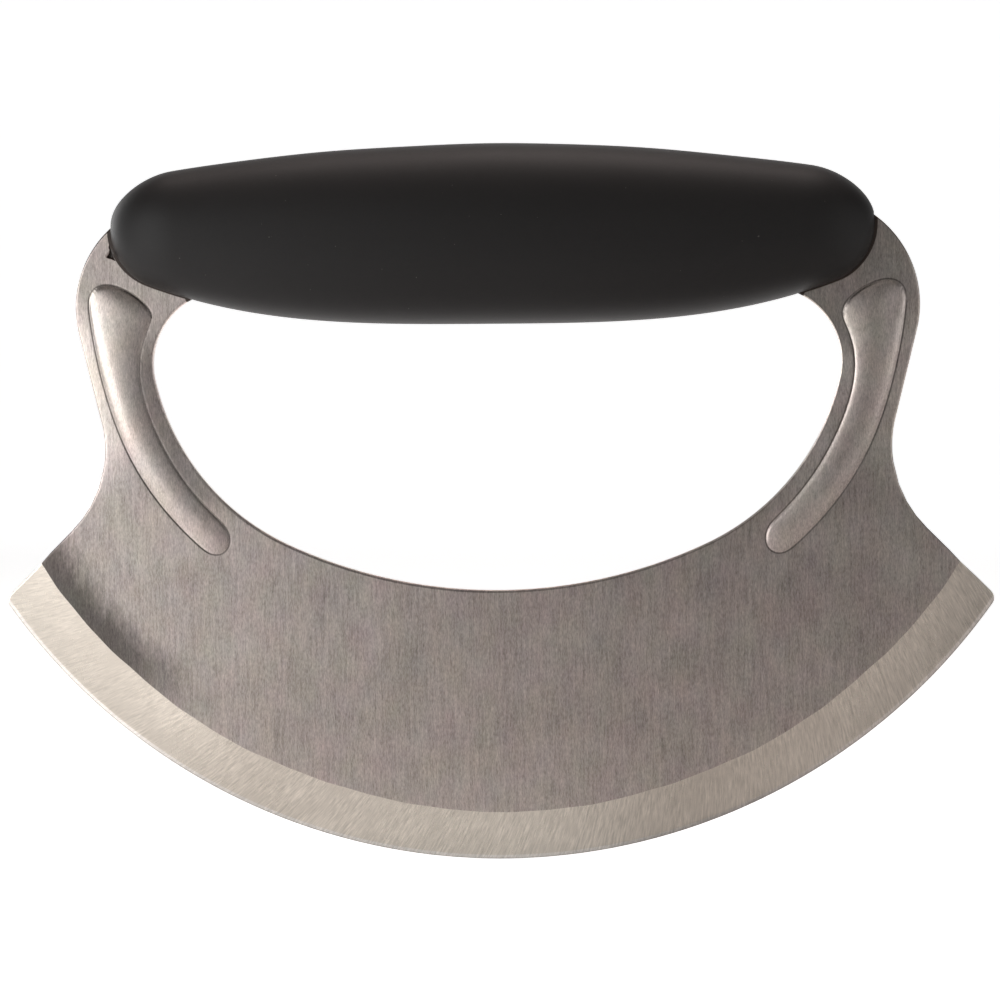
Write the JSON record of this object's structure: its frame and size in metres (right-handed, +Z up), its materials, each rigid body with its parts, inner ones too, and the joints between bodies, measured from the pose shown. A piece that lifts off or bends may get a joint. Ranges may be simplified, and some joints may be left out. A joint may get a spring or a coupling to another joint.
{
  "type": "ulu knife",
  "caption": "Rocking kitchen knife: a stamped steel crescent blade with ribbed arms rising into a soft black grip over a finger opening.",
  "frame": {"origin": "lowest point of the cutting edge, at the middle of the blade and on the sheet's mid-plane", "axes": "+Z up from the cutting edge to the grip, +X along the grip, +Y through the sheet from the front face (raised ribs) to the rear face"},
  "size_m": [0.2038, 0.029, 0.1475],
  "materials": {
    "blade_steel": "stainless sheet with a fine upright brushed grain, slanted grinding marks on the bevel",
    "core_plastic": "moulded, plain",
    "rivet_steel": "turned stainless",
    "grip_elastomer": "matte soft-touch"
  },
  "bodies": {
    "root": {"blade_plate": "blade_steel", "front_core_half": "core_plastic", "rear_core_half": "core_plastic", "left_rivet_post": "rivet_steel", "left_rivet_sleeve": "rivet_steel", "middle_rivet_post": "rivet_steel", "middle_rivet_sleeve": "rivet_steel", "right_rivet_post": "rivet_steel", "right_rivet_sleeve": "rivet_steel", "grip_skin": "grip_elastomer"}
  },
  "joints": []
}
